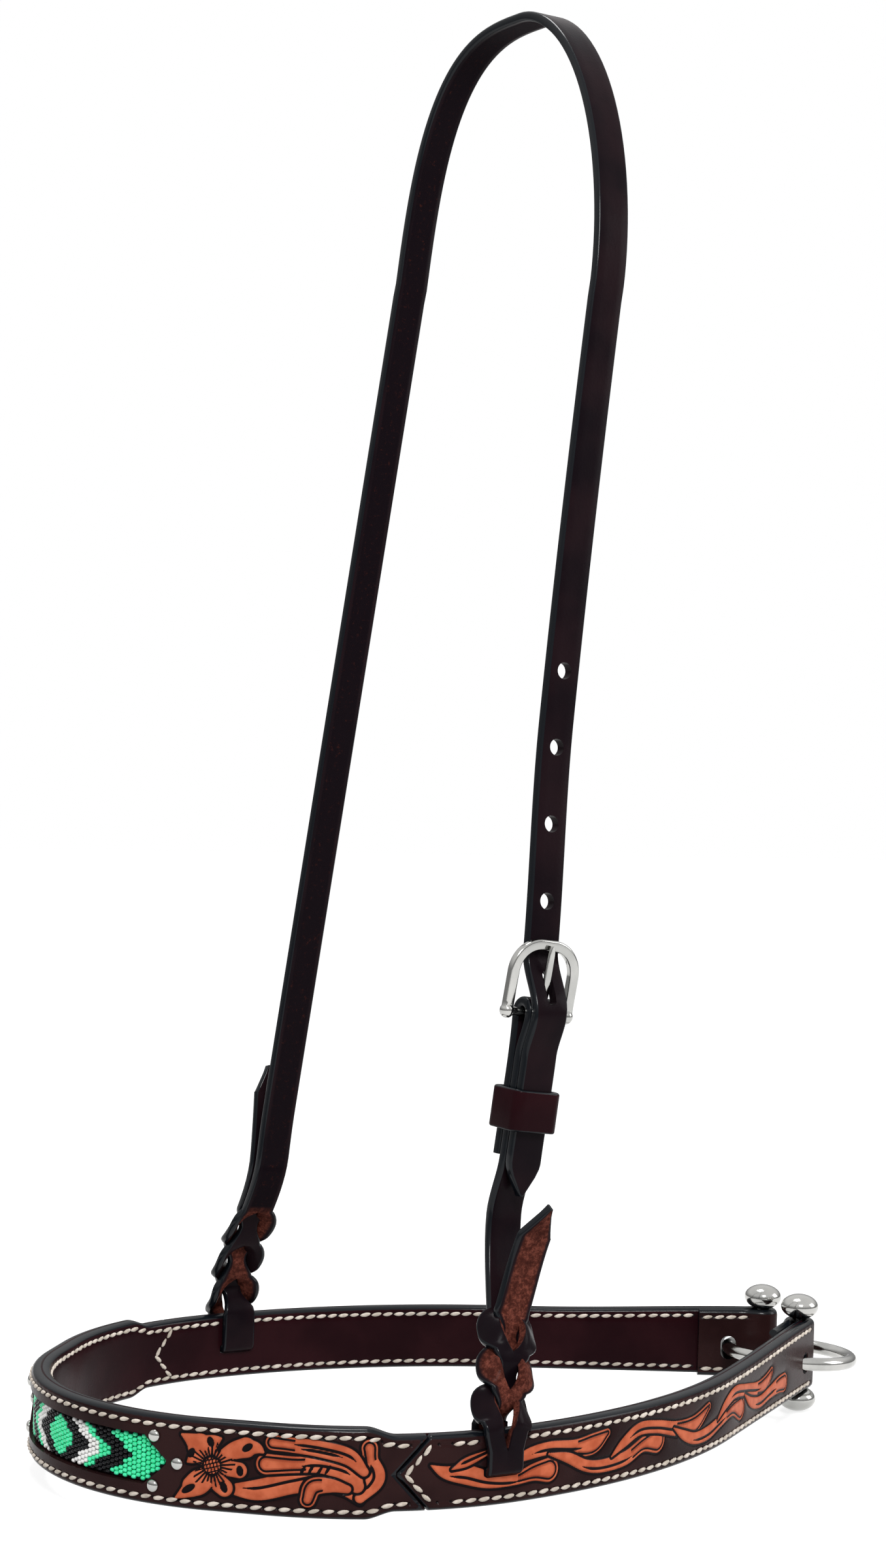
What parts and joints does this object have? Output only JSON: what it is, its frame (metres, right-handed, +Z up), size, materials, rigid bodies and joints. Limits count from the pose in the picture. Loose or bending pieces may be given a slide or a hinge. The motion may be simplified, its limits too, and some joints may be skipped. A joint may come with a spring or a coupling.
{
  "type": "beaded noseband",
  "caption": "Teardrop leather noseband with a beaded nose panel, knotted over-the-poll hanger strap, buckle and a round tie ring at the chin.",
  "frame": {"origin": "under the crown of the hanger strap, where it rests on the poll", "axes": "+X from the nose towards the chin, +Y from the near side to the far side, +Z up"},
  "size_m": [0.3387, 0.2113, 0.5087],
  "materials": {
    "lining leather": "smooth dark burnished leather",
    "band leather": "tooled and antiqued dark leather, glossy",
    "hanger leather": "smooth oiled strap leather",
    "backing": "black felt",
    "beads": "glossy seed beads in green, white and black",
    "nickel": "polished nickel plate"
  },
  "bodies": {
    "band": {"lining": "lining leather", "nose_piece": "band leather", "bead_backing": "backing", "bead_panel": "beads", "stud_far_lower": "nickel", "stud_far_point": "nickel", "stud_far_upper": "nickel", "stud_near_lower": "nickel", "stud_near_point": "nickel", "stud_near_upper": "nickel", "side_strap_near": "band leather", "side_strap_far": "band leather", "crown_strap": "hanger leather", "cheek_strap": "hanger leather"},
    "buckle": {"buckle_frame": "nickel"},
    "tongue": {"buckle_tongue": "nickel"},
    "keeper_loop": {"keeper": "hanger leather"},
    "ring": {"tie_ring": "nickel"},
    "pin_near": {"ball_pin_near": "nickel"},
    "pin_far": {"ball_pin_far": "nickel"}
  },
  "joints": [
    {"name": "buckle_hinge", "type": "hinge", "parent": "band", "child": "buckle", "pos_m": [-0.03939, -0.07533, -0.34495], "axis": [0.9937, -0.008, -0.1117], "range_deg": [0, 3]},
    {"name": "tongue_hinge", "type": "hinge", "parent": "buckle", "child": "tongue", "pos_m": [-0.03939, -0.07533, -0.34495], "axis": [0.9937, -0.008, -0.1117], "range_deg": [0, 4]},
    {"name": "keeper_slide", "type": "slide", "parent": "band", "child": "keeper_loop", "axis": [0.1122, -0.0263, 0.9933], "range_m": [-0.008, 0.008]},
    {"name": "ring_swing", "type": "hinge", "parent": "band", "child": "ring", "pos_m": [0.12854, 0, -0.4856], "axis": [0, 1, 0], "range_deg": [-16, 12]},
    {"name": "near_pin_spin", "type": "hinge", "parent": "band", "child": "pin_near", "pos_m": [0.13725, -0.0107, -0.4838], "axis": [0, 0, 1], "continuous": true},
    {"name": "far_pin_spin", "type": "hinge", "parent": "band", "child": "pin_far", "pos_m": [0.13725, 0.0107, -0.4838], "axis": [0, 0, 1], "continuous": true}
  ]
}
